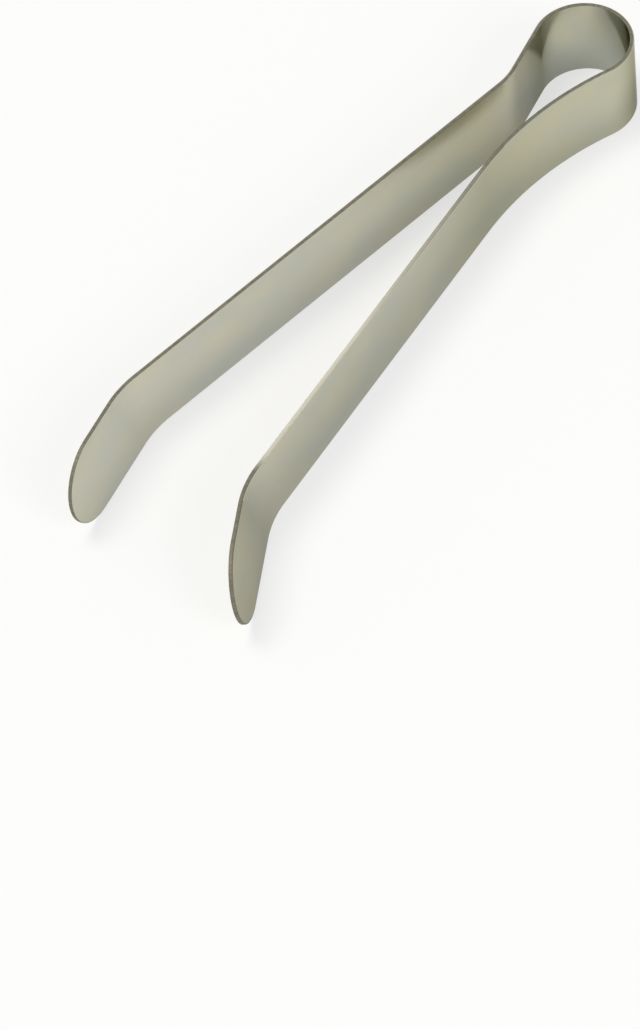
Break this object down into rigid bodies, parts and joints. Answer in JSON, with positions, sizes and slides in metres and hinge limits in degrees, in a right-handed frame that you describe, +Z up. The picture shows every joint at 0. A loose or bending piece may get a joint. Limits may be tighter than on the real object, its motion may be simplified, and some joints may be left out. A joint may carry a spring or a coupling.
{
  "type": "candle snuffer tongs",
  "caption": "Spring tongs bent from one steel strip: a round bow, two splayed arms and angled rounded tips that pinch a candle wick to put it out.",
  "frame": {"origin": "lower edge of the strip at the middle of the bow's back, at mid thickness, on the surface the tongs stand on", "axes": "+X from the bow to the tips, +Y to the left arm and the way both tips are folded, +Z up across the strip's width"},
  "size_m": [0.1528, 0.0467, 0.0181],
  "materials": {
    "spring_bow": "stainless spring strip, cold rolled to a soft mirror, with faint lines along its length",
    "left_arm": "stainless spring strip, cold rolled to a soft mirror, with faint lines along its length",
    "right_arm": "stainless spring strip, cold rolled to a soft mirror, with faint lines along its length"
  },
  "bodies": {
    "bow": {"spring_bow": "spring_bow"},
    "left": {"left_arm": "left_arm"},
    "right": {"right_arm": "right_arm"}
  },
  "joints": [
    {"name": "left_flex", "type": "hinge", "parent": "bow", "child": "left", "pos_m": [0.00383, 0.00752, 0.0088], "axis": [0, 0, -1], "range_deg": [-2, 6.9], "stiffness_Nm_per_rad": 4.4},
    {"name": "right_flex", "type": "hinge", "parent": "bow", "child": "right", "pos_m": [0.00383, -0.00752, 0.0088], "axis": [0, 0, 1], "range_deg": [-2, 6.9], "stiffness_Nm_per_rad": 4.4}
  ],
  "couplings": [
    {"joint": "right_flex", "follows": "left_flex", "ratio": 1}
  ]
}
